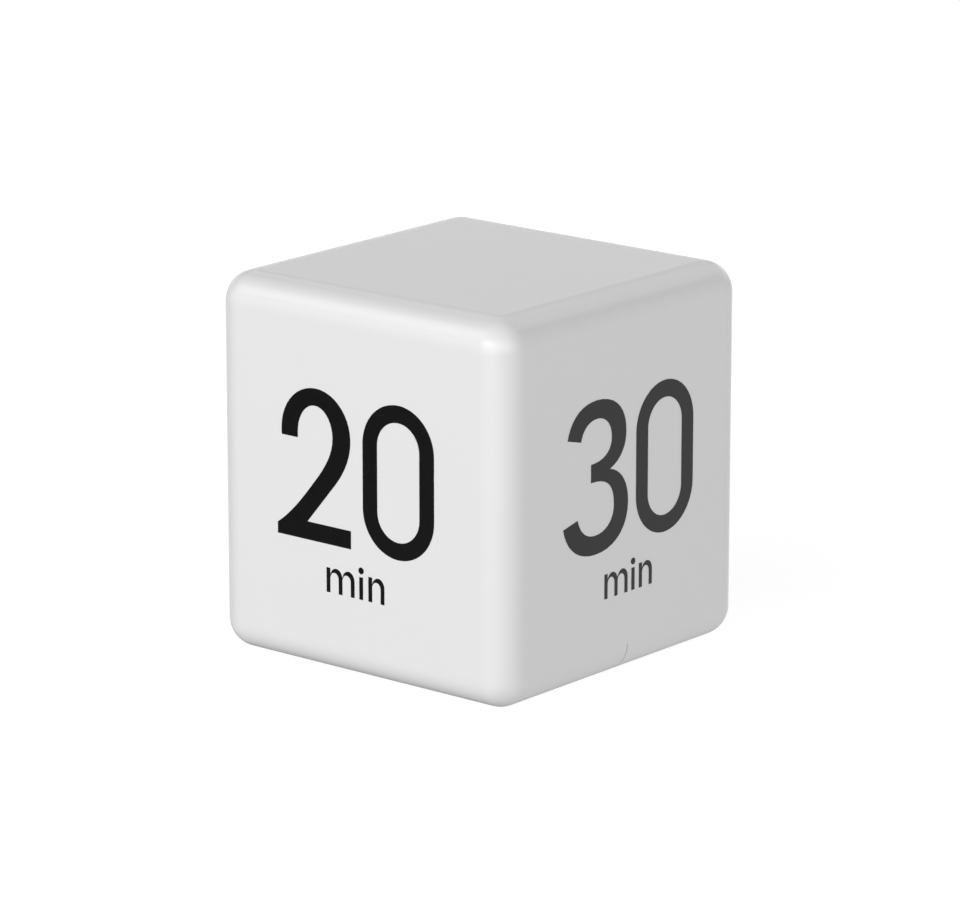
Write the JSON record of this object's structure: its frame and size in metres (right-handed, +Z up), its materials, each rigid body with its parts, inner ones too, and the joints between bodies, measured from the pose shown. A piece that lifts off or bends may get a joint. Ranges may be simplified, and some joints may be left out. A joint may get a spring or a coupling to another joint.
{
  "type": "cube countdown timer",
  "caption": "Cube countdown timer with rounded edges, printed minute faces, hidden top display, ball tilt sensors, sliding battery door and base slide switch.",
  "frame": {"origin": "centre of the bottom face", "axes": "+Z up, the 20-minute face looks along -Y and the 30-minute face along +X"},
  "size_m": [0.0602, 0.0602, 0.062],
  "materials": {
    "white_shell": "smooth satin white moulding",
    "black_ink": "pad-printed black ink, semi-gloss",
    "grey_plastic": "satin grey moulding",
    "black_plastic": "black moulding",
    "ivory_plastic": "ivory nylon",
    "screw_steel": "zinc-plated steel",
    "spring_steel": "nickel-plated spring steel",
    "cell_jacket": "printed cell jacket with bare metal ends",
    "circuit_board": "green solder mask",
    "display_grey": "grey display housing",
    "lit_segment": "tinted segment windows",
    "diffuser": "milky diffuser film",
    "chip_black": "moulded chip package",
    "tinned_lead": "tinned leads",
    "can_metal": "drawn metal can",
    "capacitor_sleeve": "shrink sleeve",
    "brass": "bare brass",
    "gold_plate": "gold-plated steel",
    "piezo_ceramic": "silvered ceramic",
    "red_wire": "red insulation",
    "black_wire": "black insulation",
    "yellow_wire": "yellow insulation",
    "blue_wire": "blue insulation"
  },
  "bodies": {
    "housing": {"main_shell": "white_shell", "base_shell": "white_shell", "print_10_min": "black_ink", "print_20_min": "black_ink", "print_30_min": "black_ink", "print_60_min": "black_ink", "base_screws": "screw_steel", "aaa_cell_inner": "cell_jacket", "aaa_cell_outer": "cell_jacket", "bridge_contact": "spring_steel", "bridge_spring": "spring_steel", "negative_contact": "spring_steel", "negative_spring": "spring_steel", "positive_contact": "spring_steel", "main_board": "circuit_board", "board_screws": "screw_steel", "display_housing": "display_grey", "display_segments": "lit_segment", "display_pins": "tinned_lead", "display_diffuser": "diffuser", "controller_chip": "chip_black", "controller_leads": "tinned_lead", "crystal": "can_metal", "capacitor": "capacitor_sleeve", "resistors": "chip_black", "wire_connector": "ivory_plastic", "tilt_can_left": "can_metal", "tilt_can_right": "can_metal", "tilt_can_upright": "can_metal", "tilt_header_left": "black_plastic", "tilt_header_right": "black_plastic", "tilt_header_upright": "black_plastic", "tilt_pins": "tinned_lead", "buzzer_plate": "brass", "buzzer_ceramic": "piezo_ceramic", "switch_body": "can_metal", "switch_board": "circuit_board", "switch_board_screws": "screw_steel", "battery_lead_red": "red_wire", "battery_lead_black": "black_wire", "buzzer_lead_red": "red_wire", "buzzer_lead_black": "black_wire", "switch_lead_yellow": "yellow_wire", "switch_lead_blue": "blue_wire"},
    "battery_door": {"battery_door": "white_shell"},
    "switch_slider": {"switch_knob": "grey_plastic", "switch_lever": "black_plastic"},
    "left_ball": {"tilt_ball_left": "gold_plate"},
    "right_ball": {"tilt_ball_right": "gold_plate"},
    "upright_ball": {"tilt_ball_upright": "gold_plate"}
  },
  "joints": [
    {"name": "door_slide", "type": "slide", "parent": "housing", "child": "battery_door", "axis": [0, 1, 0], "range_m": [0, 0.034]},
    {"name": "switch_slide", "type": "slide", "parent": "housing", "child": "switch_slider", "axis": [0, 1, 0], "range_m": [0, 0.004]},
    {"name": "left_ball_roll", "type": "slide", "parent": "housing", "child": "left_ball", "axis": [0.7071, 0.7071, 0], "range_m": [0, 0.0026]},
    {"name": "right_ball_roll", "type": "slide", "parent": "housing", "child": "right_ball", "axis": [0.7071, -0.7071, 0], "range_m": [0, 0.0026]},
    {"name": "upright_ball_roll", "type": "slide", "parent": "housing", "child": "upright_ball", "axis": [0, 0, 1], "range_m": [0, 0.0028]}
  ]
}
